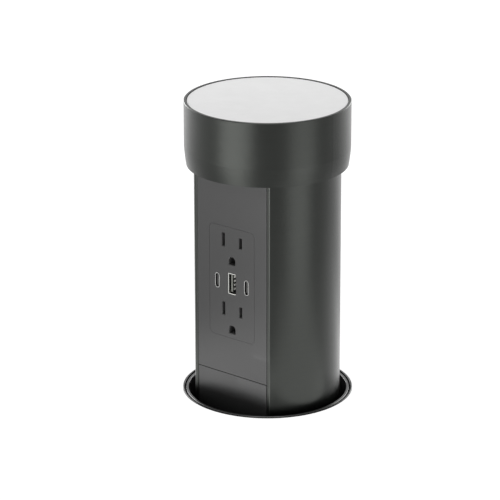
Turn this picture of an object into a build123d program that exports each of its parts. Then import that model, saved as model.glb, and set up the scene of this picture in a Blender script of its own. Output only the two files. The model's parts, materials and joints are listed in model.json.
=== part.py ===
from build123d import *
import os
from math import cos, radians, sin, sqrt

# Pop up desk socket, in millimetres. A round power tower is lifted by a gas spring out of a
# sleeve that hangs under a counter. +Z is up, the origin is on the tower's axis in the plane
# of the countertop, the sockets face -Y, and the tower is drawn raised.

# Gaps that several fits share
running_gap = 0.3
slide_gap = 0.08
shaft_gap = 0.05
seat_gap = 0.1
through = 200.0

# Head, the wide round cap of the tower
head_r = 47.7
head_top = 175.0
head_height = 37.6
head_taper_height = 10.65
head_taper_inset = 1.25
head_taper_bulge = 0.15
head_rim = 1.65
head_ledge = 5.0
head_floor = 4.0
head_edge = 0.3
insert_thickness = 20.0
insert_gap = 0.2
insert_edge = 0.35
pad_thickness = 0.8
pad_margin = 0.5

# Collar that stands in the hole of the counter, with its flange below it
rim_height = 0.4
neck_wall = 1.5
neck_rim = 0.9
neck_recess = 3.4
neck_edge = 0.15
counter_thickness = 30.0
flange_thickness = 6.0
flange_reach = 17.5
flange_edge = 1.0
flange_hole_r = 2.3
flange_hole_inset = 7.0
flange_holes = 4
boss_wall = 4.5
boss_height = 16.0
socket_depth = 19.0
boss_fillet = 2.0
seal_section_r = 1.2
seal_offset = 3.9
seal_slack = 0.2
wiper_drop = 2.6
closed_proud = 0.4

# Sleeve under the counter and its base
tube_wall = 2.0
base_thickness = 7.0
base_edge = 1.5
spigot_wall = 3.0
spigot_height = 12.0
rod_boss_wall = 4.0
rod_boss_height = 7.0
landing_gap = 1.9

# Cup that rides with the tower and closes the hole while the tower is up
cup_wall = 1.5
cup_depth = 52.0
cup_floor = 5.0
cup_rim_drop = 0.3
moat = 3.95
band_height = 6.0
band_groove = 0.6
band_slit = 2.0
band_margin = 6.0

# Column, a D shaped extrusion that is open at its flat
face_inset = 10.45
column_wall = 2.4
lip_width = 2.1
lip_thickness = 1.2
rail_depth = 1.5
rail_reach = 1.6
ledge_thickness = 1.8
ledge_reach = 2.2
corner_r = 0.8
lip_edge_r = 0.3
port_wall = 2.0
port_angles = (60.0, 120.0, 210.0, 330.0)

# Plates that close the flat of the column
plate_gap = 0.2
plate_r = 0.15
cover_setback = 0.15
cover_top = 16.6
split_gap = 0.4
strap_boss_r = 3.6
strap_boss_height = 4.2

# Receptacle face, the flush insert with the slots
face_width = 33.3
face_setback = 1.0
face_z = 72.7
face_r = 3.0
face_gap = 0.12
face_lip_side = 1.25
face_lip_end = 0.6
face_flange_thickness = 2.3
upper_outlet_share = 0.3662
lower_outlet_share = 0.2392
slot_spacing = 12.7
slot_width = 2.1
neutral_slot = 8.0
hot_slot = 6.4
ground_drop = 11.9
ground_width = 4.7
ground_height = 4.9
slot_chamfer = 0.25

# Receptacle body, its back plate and the strap that carries them
body_width = 34.0
body_height = 69.0
body_depth = 23.7
back_thickness = 1.5
strap_thickness = 1.2
strap_gap = 0.95
strap_ear = 14.0
strap_screw_spacing = 96.9
body_screw_margin = 2.6
shutter_pocket_depth = 2.4
pocket_margin = 0.4

# Contacts
blade_gap = 1.4
leaf_thickness = 0.8
leaf_height = 6.0
leaf_length = 14.6
leaf_start = 0.6
bus_thickness = 1.0
bus_width = 4.4
ground_leaf_r = 2.2
ground_leaf_length = 13.0
terminal_head_r = 3.4
terminal_head_height = 2.0
terminal_drop = 4.0

# Shutters that cover the slots until both blades push
shutter_thickness = 2.0
shutter_cover = 1.65
shutter_height = 10.4
shutter_travel = 3.2
shutter_window = 3.1
shutter_tail = 2.6
spring_room = 4.8
shutter_spring_r = 0.8
shutter_wire_r = 0.18
shutter_spring_turns = 4

# Charging ports and their board
usb_rise = 0.5
usb_a_x = 0.15
usb_a_width = 5.5
usb_a_height = 12.5
usb_a_wall = 0.35
usb_a_r = 0.5
side_setback = 1.2
usb_c_margin = 4.15
usb_c_width = 3.25
usb_c_height = 8.95
usb_c_wall = 0.25
usb_proud = 0.05
usb_depth = 15.3
port_gap = 0.12
tongue_a_width = 1.25
tongue_a_height = 10.4
tongue_a_shift = 0.875
tongue_a_inset = 1.0
tongue_c_width = 1.1
tongue_c_height = 6.4
tongue_c_inset = 0.7
contact_count = 4
contact_height = 1.1
contact_pitch = 2.4
contact_thickness = 0.25
contact_inset = 2.05
board_wall = 2.0
board_clear = 0.9
board_thickness = 1.6
board_gap = 0.5
coil_side = 10.0
coil_depth = 4.6
can_r = 2.6
can_depth = 4.0
can_margin = 1.9

# Gas spring that lifts the tower
overtravel = 3.0
lift_gap_share = 0.3
cylinder_r = 9.5
cylinder_wall = 2.0
cylinder_plug = 7.4
cylinder_lip = 1.0
cylinder_lip_reach = 2.0
cylinder_margin = 3.4
gland_length = 10.0
rod_r = 4.0
rod_neck_r = 3.0
piston_length = 7.0
rod_end = 1.2
rod_tap_depth = 12.0

# Guide rod that keeps the face to the front
guide_wall_gap = 4.4
guide_angle = 153.0
guide_top_gap = 1.3
guide_show = 1.7
bush_length = 15.0
bush_wall = 1.95
bush_flange = 2.0

# Push latch at the bottom of the travel
latch_x = 20.0
latch_gap = 2.925
striker_width = 8.0
striker_thickness = 3.0
striker_base = 20.0
striker_base_thickness = 2.0
striker_window_width = 5.2
striker_window_drop = 11.0
striker_window_height = 7.5
striker_bar = 4.0
striker_screw_offset = 7.2
hook_width = 4.0
hook_boss_r = 3.5
hook_arm = 4.0
hook_nose = 3.0
hook_catch = 2.5
hook_play = 0.2
hook_open_angle = 16.0
pivot_offset = 8.0
pivot_height = 7.0
pivot_r = 1.5
bracket_thickness = 2.0
bracket_base = 2.5
bracket_gap = 3.2
bracket_depth = 13.0
bracket_screw_offset = 4.6
torsion_r = 2.9
torsion_wire_r = 0.35
torsion_turns = 3

# Lead inlet: the gland in the base and the grommet in the floor of the cup
lead_r = 4.5
gland_x = -12.0
gland_wall = 1.6
gland_flange_r = 10.0
gland_flange_height = 5.0
gland_nut_r = 9.0
gland_nut_lip = 3.0
gland_dome_r = 2.5
locknut_height = 4.0
gland_seal_height = 9.0
grommet_wall = 2.5
grommet_flange = 2.0

# Screws: shank radius, head radius, head height
m3 = 1.45
m3_head = 2.6
m3_head_height = 1.8
m4 = 1.95
m4_head = 3.5
m4_head_height = 2.6
m5 = 2.45
m5_head = 4.2
m5_head_height = 2.8
screw_gap = 0.15
counterbore_gap = 0.4
head_screw_length = 14.0
cup_screw_length = 17.0
rod_screw_length = 13.0
cylinder_bolt_length = 9.0
strap_screw_length = 5.2
latch_screw_length = 6.8
radial_screw_length = 4.4
radial_screws = 4
recess_share = 0.6
socket_share = 0.55

# Places worked out from the sizes above
travel = head_top - rim_height - closed_proud
stroke = travel + overtravel
head_bottom = head_top - head_height
head_crease = head_bottom + head_taper_height
head_floor_top = head_bottom + head_floor
recess_r = head_r - head_rim
insert_top = head_top - insert_gap
pad_top = insert_top - insert_thickness
head_seat = pad_top - pad_thickness
head_pocket_r = recess_r - head_ledge

bore_r = head_r + running_gap
neck_r = bore_r + neck_wall
neck_recess_r = neck_r - neck_rim
neck_recess_z = rim_height - neck_recess
flange_top = -counter_thickness
flange_bottom = flange_top - flange_thickness
flange_r = neck_r + flange_reach
flange_hole_circle = flange_r - flange_hole_inset
tube_r = bore_r + tube_wall
tube_socket_r = tube_r + shaft_gap
boss_bottom = flange_bottom - boss_height
boss_r = tube_r + boss_wall
tube_top = boss_bottom + socket_depth
seal_circle = neck_r + seal_offset

cup_inner_r = head_r - cup_wall
cup_top = rim_height - cup_rim_drop
cup_bottom = -cup_depth
cup_floor_top = cup_bottom + cup_floor
band_r = bore_r - slide_gap
band_inner_r = head_r - band_groove
column_r = cup_inner_r - moat
column_inner_r = column_r - column_wall
face_y = column_r - face_inset
corner_x = sqrt(column_r**2 - face_y**2)
plate_half = corner_x - lip_width
rail_front = face_y - lip_thickness
rail_back = rail_front - rail_depth
ledge_back = rail_back - ledge_thickness
rail_half = plate_half + rail_reach
plate_thickness = face_y - rail_back
port_r = m4 + shaft_gap
port_boss_r = port_r + port_wall
port_circle = column_inner_r - port_boss_r + port_wall / 2

cylinder_bore = cylinder_r - cylinder_wall
cylinder_end = head_bottom - cylinder_plug
rod_top = cylinder_end - cylinder_margin - stroke
piston_top = rod_top - rod_end
piston_bottom = piston_top - piston_length
gland_top = piston_bottom - running_gap
gland_bottom = gland_top - gland_length
cylinder_bottom = gland_bottom - cylinder_lip
base_top = cylinder_bottom - stroke - landing_gap - rod_boss_height
base_bottom = base_top - base_thickness
guide_circle = column_inner_r - rod_r - guide_wall_gap
guide_x = guide_circle * cos(radians(guide_angle))
guide_y = guide_circle * sin(radians(guide_angle))
guide_top = head_bottom - stroke - guide_top_gap
bush_r = rod_r + shaft_gap + bush_wall

face_height = body_height - 2 * face_setback
outlets = {
    "upper": face_z + upper_outlet_share * body_height,
    "lower": face_z - lower_outlet_share * body_height,
}
above_lower = outlets["lower"] + neutral_slot / 2
below_upper = outlets["upper"] - ground_drop - ground_height / 2
usb_z = (above_lower + below_upper) / 2 + usb_rise
neutral_x = -slot_spacing / 2
hot_x = slot_spacing / 2
flange_depth = plate_thickness + face_flange_thickness
body_back = flange_depth + body_depth
strap_back = body_back + back_thickness
contact_front = flange_depth + shutter_pocket_depth + leaf_start
bus_front = contact_front + leaf_length
board_front = usb_depth
board_width = body_width - 2 * board_wall
ground_below = outlets["upper"] - ground_drop - ground_leaf_r - leaf_thickness
board_height = 2 * (ground_below - usb_z - board_clear)
can_offset = board_width / 2 - can_r - can_margin
usb_c_x = board_width / 2 - usb_c_margin
strap_width = body_width - 2 * (body_screw_margin + m3_head - screw_gap + strap_gap)
strap_outside = strap_back + strap_thickness - face_y
lift_room = column_inner_r - strap_outside - 2 * cylinder_r
lift_offset = column_inner_r - cylinder_r - lift_gap_share * lift_room
gland_y = lead_r + grommet_wall + grommet_flange + seat_gap - rail_back
gland_nut_height = gland_nut_lip + gland_seal_height
striker_bottom = cup_bottom - striker_window_drop - striker_bar
window_bottom = cup_bottom - striker_window_drop
latch_y = m4_head + latch_gap + striker_width / 2 - port_circle / 2
pivot_y = latch_y + pivot_offset
pivot_z = base_top + pivot_height
nose_bottom = window_bottom - travel + hook_play
bracket_half = hook_width / 2 + bracket_gap
radial_angles = [45.0 + 360.0 * i / radial_screws for i in range(radial_screws)]

UP = (Align.CENTER, Align.CENTER, Align.MIN)
DOWN = (Align.CENTER, Align.CENTER, Align.MAX)


def front(depth):
    """The plane that lies depth behind the face: its x is +X, its y is +Z, it looks to -Y."""
    return Plane(origin=(0, depth - face_y, 0), x_dir=(1, 0, 0), z_dir=(0, -1, 0))


def radial(radius, height, angles=radial_angles):
    """Places on a cylinder round Z, each with its own Z pointing outwards."""
    places = []
    for angle in angles:
        out = Vector(cos(radians(angle)), sin(radians(angle)), 0)
        places.append(Plane(origin=out * radius + Vector(0, 0, height), z_dir=out))
    return places


def on_ports(height):
    """The four screw ports of the column, at a height."""
    spots = [(cos(radians(a)) * port_circle, sin(radians(a)) * port_circle) for a in port_angles]
    return [(x, y, height) for x, y in spots]


def screw(shank_r, length, head, head_height):
    """A screw along Z: its head stands on the plane and its shank hangs below."""
    with BuildPart() as made:
        Cylinder(head, head_height, align=UP)
        Cylinder(shank_r, length, align=DOWN)
        with Locations((0, 0, head_height)):
            Cylinder(head * socket_share, head_height * recess_share, align=DOWN, mode=Mode.SUBTRACT)
    return made.part


def flip(place):
    """The same place with its Z turned over, for a screw that goes in from below."""
    return Plane(origin=place, z_dir=(0, 0, -1))


def save(piece, name):
    piece.part.label = name
    export_step(piece.part, f"parts/{name}.step")


os.makedirs("parts", exist_ok=True)

# Head shell: a turned cap with a tapered skirt, a ledge for the insert and a floor on the column
with BuildPart() as head_shell:
    with BuildSketch(Plane.XZ):
        with BuildLine():
            skirt_low = (head_r - head_taper_inset, head_bottom)
            skirt_high = (head_r, head_crease)
            skirt_middle = (
                head_r - head_taper_inset / 2 + head_taper_bulge,
                (head_bottom + head_crease) / 2,
            )
            Polyline((0, head_floor_top), (0, head_bottom), skirt_low)
            ThreePointArc(skirt_low, skirt_middle, skirt_high)
            Polyline(
                skirt_high,
                (head_r, head_top - head_edge),
                (head_r - head_edge, head_top),
                (recess_r, head_top),
                (recess_r, head_seat),
                (head_pocket_r, head_seat),
                (head_pocket_r, head_floor_top),
                (0, head_floor_top),
            )
        make_face()
    revolve(axis=Axis.Z)
    with Locations(*on_ports(head_floor_top)):
        Hole(m4 + screw_gap, depth=head_floor)
    with Locations((0, lift_offset, head_floor_top)):
        Hole(m5 + screw_gap, depth=head_floor)
save(head_shell, "head_shell")

with BuildPart() as insert_disc:
    with Locations((0, 0, pad_top)):
        Cylinder(recess_r - insert_gap, insert_thickness, align=UP)
    chamfer(insert_disc.faces().sort_by(Axis.Z)[-1].edges(), insert_edge)
save(insert_disc, "insert_disc")

with BuildPart() as insert_pad:
    with BuildSketch(Plane.XY.offset(head_seat)):
        Circle(recess_r - pad_margin)
        Circle(head_pocket_r + pad_margin, mode=Mode.SUBTRACT)
    extrude(amount=pad_thickness)
save(insert_pad, "insert_pad")

with BuildPart() as head_screws:
    with Locations(*on_ports(head_floor_top)):
        add(screw(m4, head_screw_length, m4_head, m4_head_height))
save(head_screws, "head_screws")

with BuildPart() as cylinder_bolt:
    with Locations((0, lift_offset, head_floor_top)):
        add(screw(m5, cylinder_bolt_length, m5_head, m5_head_height))
save(cylinder_bolt, "cylinder_bolt")

# Column: the D shaped extrusion, with rails behind its lips and four screw ports
with BuildSketch(Plane.XY.offset(cup_floor_top)) as hollow:
    Circle(column_inner_r)
    with Locations((0, -ledge_back)):
        Rectangle(through, through, align=(Align.CENTER, Align.MAX), mode=Mode.SUBTRACT)

with BuildPart() as column:
    with BuildSketch(Plane.XY.offset(cup_floor_top)) as section:
        Circle(column_r)
        with Locations((0, -face_y)):
            Rectangle(through, through, align=(Align.CENTER, Align.MAX), mode=Mode.SUBTRACT)
        corners = section.vertices().group_by(Axis.Y)[0]
        fillet(corners, corner_r)
        add(hollow.sketch, mode=Mode.SUBTRACT)
        with Locations(*[(x, y) for x, y, z in on_ports(cup_floor_top)]):
            Circle(port_boss_r)
            Circle(port_r, mode=Mode.SUBTRACT)
        with Locations((0, -face_y)):
            Rectangle(
                2 * (plate_half + plate_gap),
                lip_thickness,
                align=(Align.CENTER, Align.MIN),
                mode=Mode.SUBTRACT,
            )
        with Locations((0, -rail_front)):
            Rectangle(
                2 * rail_half, rail_depth, align=(Align.CENTER, Align.MIN), mode=Mode.SUBTRACT
            )
        with Locations((0, -rail_back)):
            Rectangle(
                2 * (plate_half - ledge_reach),
                ledge_thickness,
                align=(Align.CENTER, Align.MIN),
                mode=Mode.SUBTRACT,
            )
        lips = section.vertices().group_by(Axis.Y)[0].sort_by(Axis.X)[1:-1]
        fillet(lips, lip_edge_r)
    extrude(amount=head_bottom - cup_floor_top)
save(column, "column")


def plate(bottom, top, setback=0):
    """A plate that slides in the rails of the column, flush with the lips."""
    with BuildPart() as made:
        with BuildSketch(Plane.XY.offset(bottom)) as outline:
            with Locations((0, -face_y)):
                Rectangle(
                    2 * (plate_half - setback), plate_thickness, align=(Align.CENTER, Align.MIN)
                )
            fillet(outline.vertices().group_by(Axis.Y)[0], plate_r)
            with Locations((0, -rail_back)):
                Rectangle(
                    2 * (rail_half - plate_gap),
                    rail_depth - seat_gap,
                    align=(Align.CENTER, Align.MAX),
                )
        extrude(amount=top - bottom)
    return made.part


# Face plate: the upper plate, with the window of the receptacle and two bosses for its strap
strap_spots = [(0, face_z - strap_screw_spacing / 2), (0, face_z + strap_screw_spacing / 2)]
with BuildPart() as face_plate:
    add(plate(cover_top + split_gap / 2, head_bottom))
    with BuildSketch(front(plate_thickness)):
        with Locations(*strap_spots):
            Circle(strap_boss_r)
    extrude(amount=-strap_boss_height)
    with BuildSketch(front(plate_thickness + strap_boss_height)):
        with Locations(*strap_spots):
            Circle(m3 + shaft_gap)
    extrude(amount=strap_boss_height + plate_thickness / 2, mode=Mode.SUBTRACT)
    with BuildSketch(front(0)):
        with Locations((0, face_z)):
            RectangleRounded(face_width + 2 * face_gap, face_height + 2 * face_gap, face_r + face_gap)
    extrude(amount=-plate_thickness, mode=Mode.SUBTRACT)
save(face_plate, "face_plate")

with BuildPart() as lower_cover:
    add(plate(cup_floor_top, cover_top - split_gap / 2, cover_setback))
save(lower_cover, "lower_cover")

# Guide cup: rides with the tower inside the sleeve, and its floor carries the column
grommet_r = lead_r + grommet_wall
striker_screws_at = [(latch_x - striker_screw_offset, latch_y), (latch_x + striker_screw_offset, latch_y)]
band_bottoms = [cup_bottom + band_margin, cup_top - band_margin - band_height]
with BuildPart() as guide_cup:
    with BuildSketch(Plane.XY.offset(cup_bottom)):
        Circle(head_r)
    extrude(amount=cup_top - cup_bottom)
    with BuildSketch(Plane.XY.offset(cup_floor_top)):
        Circle(cup_inner_r)
    extrude(amount=cup_top - cup_floor_top, mode=Mode.SUBTRACT)
    chamfer(guide_cup.faces().sort_by(Axis.Z)[-1].edges(), neck_edge)
    for band_bottom in band_bottoms:
        with BuildSketch(Plane.XY.offset(band_bottom)):
            Circle(head_r + through)
            Circle(band_inner_r, mode=Mode.SUBTRACT)
        extrude(amount=band_height, mode=Mode.SUBTRACT)
    with Locations(*on_ports(cup_floor_top)):
        Hole(m4 + screw_gap, depth=cup_floor)
    with Locations((0, lift_offset, cup_floor_top)):
        Hole(cylinder_r + insert_gap, depth=cup_floor)
    with Locations((guide_x, guide_y, cup_floor_top)):
        Hole(bush_r + shaft_gap, depth=cup_floor)
    with Locations((gland_x, gland_y, cup_floor_top)):
        Hole(grommet_r, depth=cup_floor)
    with Locations(*[(x, y, cup_floor_top) for x, y in striker_screws_at]):
        Hole(m3 + shaft_gap, depth=cup_floor)
save(guide_cup, "guide_cup")

with BuildPart() as guide_bands:
    for band_bottom in band_bottoms:
        with BuildSketch(Plane.XY.offset(band_bottom + seat_gap)):
            Circle(band_r)
            Circle(band_inner_r + shaft_gap, mode=Mode.SUBTRACT)
            with Locations((0, column_r)):
                Rectangle(band_slit, column_r, mode=Mode.SUBTRACT)
        extrude(amount=band_height - 2 * seat_gap)
save(guide_bands, "guide_bands")

with BuildPart() as cup_screws:
    with Locations(*[flip(place) for place in on_ports(cup_bottom)]):
        add(screw(m4, cup_screw_length, m4_head, m4_head_height))
save(cup_screws, "cup_screws")

with BuildPart() as guide_bush:
    with BuildSketch(Plane.XY.offset(guide_top - guide_show - bush_length)):
        with Locations((guide_x, guide_y)):
            Circle(bush_r)
    extrude(amount=bush_length)
    with BuildSketch(Plane.XY.offset(cup_bottom)):
        with Locations((guide_x, guide_y)):
            Circle(bush_r + bush_flange)
    extrude(amount=-bush_flange)
    with Locations((guide_x, guide_y, guide_top)):
        Cylinder(rod_r + shaft_gap, through, mode=Mode.SUBTRACT)
save(guide_bush, "guide_bush")

with BuildPart() as lead_grommet:
    with BuildSketch(Plane.XY.offset(cup_bottom)):
        with Locations((gland_x, gland_y)):
            Circle(grommet_r - shaft_gap)
    extrude(amount=cup_floor)
    for level, side in ((cup_bottom, -1), (cup_floor_top, 1)):
        with BuildSketch(Plane.XY.offset(level)):
            with Locations((gland_x, gland_y)):
                Circle(grommet_r + grommet_flange)
        extrude(amount=side * grommet_flange)
    fillet(lead_grommet.faces().sort_by(Axis.Z)[-1].edges(), grommet_flange / 3)
    with Locations((gland_x, gland_y, cup_bottom)):
        Cylinder(lead_r, through, mode=Mode.SUBTRACT)
save(lead_grommet, "lead_grommet")

# Striker: hangs under the cup and drops beside the hook when the tower is down
with BuildPart() as latch_striker:
    with BuildSketch(Plane.XY.offset(cup_bottom)):
        with Locations((latch_x, latch_y)):
            Rectangle(striker_base, striker_width)
    extrude(amount=-striker_base_thickness)
    with BuildSketch(Plane.XY.offset(cup_bottom)):
        with Locations((latch_x, latch_y)):
            Rectangle(striker_width, striker_thickness)
    extrude(amount=striker_bottom - cup_bottom)
    with BuildSketch(front(face_y + latch_y - striker_thickness / 2)):
        with Locations((latch_x, window_bottom)):
            Rectangle(
                striker_window_width, striker_window_height, align=(Align.CENTER, Align.MIN)
            )
    extrude(amount=-striker_thickness, mode=Mode.SUBTRACT)
    with Locations(*[(x, y, cup_bottom) for x, y in striker_screws_at]):
        Hole(m3 + screw_gap, depth=striker_base_thickness)
save(latch_striker, "latch_striker")

with BuildPart() as striker_screws:
    under = cup_bottom - striker_base_thickness
    with Locations(*[flip((x, y, under)) for x, y in striker_screws_at]):
        add(screw(m3, latch_screw_length, m3_head, m3_head_height))
save(striker_screws, "striker_screws")

# Gas spring: cylinder and gland ride with the tower, rod and piston stand on the base
lift = Plane(origin=(0, lift_offset, 0), x_dir=(1, 0, 0), z_dir=(0, -1, 0))
lift_axis = Axis((0, lift_offset, 0), (0, 0, 1))
with BuildPart() as gas_spring_cylinder:
    with BuildSketch(lift):
        with BuildLine():
            Polyline(
                (0, head_bottom),
                (cylinder_r, head_bottom),
                (cylinder_r, cylinder_bottom),
                (cylinder_bore - cylinder_lip_reach, cylinder_bottom),
                (cylinder_bore - cylinder_lip_reach, gland_bottom),
                (cylinder_bore, gland_bottom),
                (cylinder_bore, cylinder_end),
                (0, cylinder_end),
                close=True,
            )
        make_face()
    revolve(axis=lift_axis)
    with Locations((0, lift_offset, head_bottom)):
        Hole(m5 + shaft_gap, depth=cylinder_bolt_length - head_floor + screw_gap)
save(gas_spring_cylinder, "gas_spring_cylinder")

with BuildPart() as gas_spring_gland:
    with BuildSketch(Plane.XY.offset(gland_bottom)):
        with Locations((0, lift_offset)):
            Circle(cylinder_bore - shaft_gap)
            Circle(rod_r + shaft_gap, mode=Mode.SUBTRACT)
    extrude(amount=gland_length)
save(gas_spring_gland, "gas_spring_gland")

with BuildPart() as gas_spring_rod:
    with BuildSketch(lift):
        with BuildLine():
            Polyline(
                (0, base_top),
                (rod_r, base_top),
                (rod_r, piston_bottom),
                (rod_neck_r, piston_bottom),
                (rod_neck_r, piston_top),
                (rod_r, piston_top),
                (rod_r, rod_top),
                (0, rod_top),
                close=True,
            )
        make_face()
    revolve(axis=lift_axis)
    with Locations(flip((0, lift_offset, base_top))):
        Hole(m5 + shaft_gap, depth=rod_tap_depth)
save(gas_spring_rod, "gas_spring_rod")

with BuildPart() as gas_spring_piston:
    with BuildSketch(Plane.XY.offset(piston_bottom)):
        with Locations((0, lift_offset)):
            Circle(cylinder_bore - slide_gap)
            Circle(rod_neck_r + shaft_gap, mode=Mode.SUBTRACT)
    extrude(amount=piston_length)
save(gas_spring_piston, "gas_spring_piston")

with BuildPart() as guide_rod:
    with BuildSketch(Plane.XY.offset(base_top)):
        with Locations((guide_x, guide_y)):
            Circle(rod_r)
    extrude(amount=guide_top - base_top)
    chamfer(guide_rod.faces().sort_by(Axis.Z)[-1].edges(), head_edge)
    with Locations(flip((guide_x, guide_y, base_top))):
        Hole(m5 + shaft_gap, depth=rod_tap_depth)
save(guide_rod, "guide_rod")

# Collar: the neck in the counter's hole, the flange under the counter, the socket for the tube
with BuildPart() as mounting_collar:
    with BuildSketch(Plane.XZ):
        with BuildLine():
            Polyline(
                (bore_r, tube_top),
                (bore_r, neck_recess_z),
                (neck_recess_r, neck_recess_z),
                (neck_recess_r, rim_height),
                (neck_r, rim_height),
                (neck_r, flange_top),
                (flange_r, flange_top),
                (flange_r, flange_bottom),
                (boss_r, flange_bottom),
                (boss_r, boss_bottom),
                (tube_socket_r, boss_bottom),
                (tube_socket_r, tube_top),
                close=True,
            )
        make_face()
    revolve(axis=Axis.Z)
    rims = mounting_collar.edges().filter_by(GeomType.CIRCLE)
    chamfer(rims.group_by(Axis.Z)[-1], neck_edge)
    outer_edges = mounting_collar.edges().filter_by(GeomType.CIRCLE).group_by(SortBy.RADIUS)[-1]
    fillet(outer_edges, flange_edge)
    inner_corner = mounting_collar.edges().filter_by(GeomType.CIRCLE).filter_by(
        lambda edge: abs(edge.radius - boss_r) < shaft_gap
        and abs(edge.center().Z - flange_bottom) < shaft_gap
    )
    fillet(inner_corner, boss_fillet)
    with BuildSketch(Plane.XY.offset(flange_top)):
        Circle(seal_circle + seal_section_r + seal_slack)
        Circle(seal_circle - seal_section_r - seal_slack, mode=Mode.SUBTRACT)
    extrude(amount=-(2 * seal_section_r + seal_slack / 2), mode=Mode.SUBTRACT)
    with PolarLocations(flange_hole_circle, flange_holes):
        with Locations((0, 0, flange_top)):
            Hole(flange_hole_r, depth=flange_thickness)
    with Locations(*radial(boss_r, (boss_bottom + flange_bottom) / 2)):
        Hole(m3 + screw_gap, depth=2 * boss_wall)
save(mounting_collar, "mounting_collar")

with BuildPart() as collar_seal:
    with Locations((0, 0, flange_top - seal_section_r - seal_slack / 2)):
        Torus(seal_circle, seal_section_r)
save(collar_seal, "collar_seal")

with BuildPart() as wiper_ring:
    with BuildSketch(Plane.XY.offset(neck_recess_z)):
        Circle(neck_recess_r - shaft_gap)
        Circle(bore_r, mode=Mode.SUBTRACT)
    extrude(amount=neck_recess - wiper_drop)
save(wiper_ring, "wiper_ring")

with BuildPart() as collar_screws:
    with Locations(*radial(boss_r, (boss_bottom + flange_bottom) / 2)):
        add(screw(m3, boss_wall + tube_wall - running_gap, m3_head, m3_head_height))
save(collar_screws, "collar_screws")

# Tube of the sleeve, and the base cap that closes it and carries both rods
spigot_r = bore_r - seat_gap
base_screw_z = base_top + spigot_height / 2
with BuildPart() as housing_tube:
    with BuildSketch(Plane.XY.offset(base_top)):
        Circle(tube_r)
        Circle(bore_r, mode=Mode.SUBTRACT)
    extrude(amount=tube_top - base_top)
    with Locations(*radial(tube_r, (boss_bottom + flange_bottom) / 2)):
        Hole(m3 + shaft_gap, depth=2 * tube_wall)
    with Locations(*radial(tube_r, base_screw_z)):
        Hole(m3 + screw_gap, depth=2 * tube_wall)
save(housing_tube, "housing_tube")

rod_spots = [(0, lift_offset), (guide_x, guide_y)]
bracket_spots = [
    (latch_x, pivot_y - bracket_screw_offset),
    (latch_x, pivot_y + bracket_screw_offset),
]
with BuildPart() as base_cap:
    with BuildSketch(Plane.XY.offset(base_bottom)):
        Circle(tube_r)
    extrude(amount=base_thickness)
    fillet(base_cap.faces().sort_by(Axis.Z)[0].edges(), base_edge)
    with BuildSketch(Plane.XY.offset(base_top)):
        Circle(spigot_r)
        Circle(spigot_r - spigot_wall, mode=Mode.SUBTRACT)
    extrude(amount=spigot_height)
    with BuildSketch(Plane.XY.offset(base_top)):
        with Locations(*rod_spots):
            Circle(rod_r + rod_boss_wall)
    extrude(amount=rod_boss_height)
    with BuildSketch(Plane.XY.offset(base_top)):
        with Locations(*rod_spots):
            Circle(rod_r + shaft_gap)
    extrude(amount=rod_boss_height, mode=Mode.SUBTRACT)
    with Locations(*[flip((x, y, base_bottom)) for x, y in rod_spots]):
        CounterBoreHole(
            m5 + screw_gap,
            m5_head + counterbore_gap,
            m5_head_height + counterbore_gap,
            depth=base_thickness,
        )
    with Locations(*[flip((x, y, base_bottom)) for x, y in bracket_spots]):
        CounterBoreHole(
            m3 + screw_gap,
            m3_head + counterbore_gap,
            m3_head_height + counterbore_gap,
            depth=base_thickness,
        )
    with Locations((gland_x, gland_y, base_top)):
        Hole(lead_r + gland_wall + shaft_gap, depth=base_thickness)
    with Locations(*radial(spigot_r, base_screw_z)):
        Hole(m3 + shaft_gap, depth=2 * spigot_wall)
save(base_cap, "base_cap")

with BuildPart() as base_screws:
    with Locations(*radial(tube_r, base_screw_z)):
        add(screw(m3, radial_screw_length, m3_head, m3_head_height))
save(base_screws, "base_screws")

with BuildPart() as rod_screws:
    head_seats = base_bottom + m5_head_height + counterbore_gap
    with Locations(*[flip((x, y, head_seats)) for x, y in rod_spots]):
        add(screw(m5, rod_screw_length, m5_head, m5_head_height))
save(rod_screws, "rod_screws")

# Push latch: a bracket on the base, a sprung hook on its pin
with BuildPart() as latch_bracket:
    with BuildSketch(Plane.XY.offset(base_top)):
        with Locations((latch_x, pivot_y)):
            Rectangle(2 * (bracket_half + bracket_thickness), bracket_depth)
    extrude(amount=bracket_base)
    for side in (-1, 1):
        cheek_x = latch_x + side * (bracket_half + bracket_thickness / 2)
        with BuildSketch(Plane.XY.offset(base_top)):
            with Locations((cheek_x, pivot_y)):
                Rectangle(bracket_thickness, bracket_depth - 2 * bracket_base)
        extrude(amount=pivot_height + hook_boss_r)
    with Locations(Plane(origin=(latch_x, pivot_y, pivot_z), z_dir=(1, 0, 0))):
        Cylinder(pivot_r + shaft_gap, through, mode=Mode.SUBTRACT)
    with Locations(*[(x, y, base_top + bracket_base) for x, y in bracket_spots]):
        Hole(m3 + shaft_gap, depth=bracket_base)
save(latch_bracket, "latch_bracket")

with BuildPart() as latch_pin:
    with Locations(Plane(origin=(latch_x, pivot_y, pivot_z), z_dir=(1, 0, 0))):
        Cylinder(pivot_r, 2 * (bracket_half + bracket_thickness))
save(latch_pin, "latch_pin")

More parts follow.
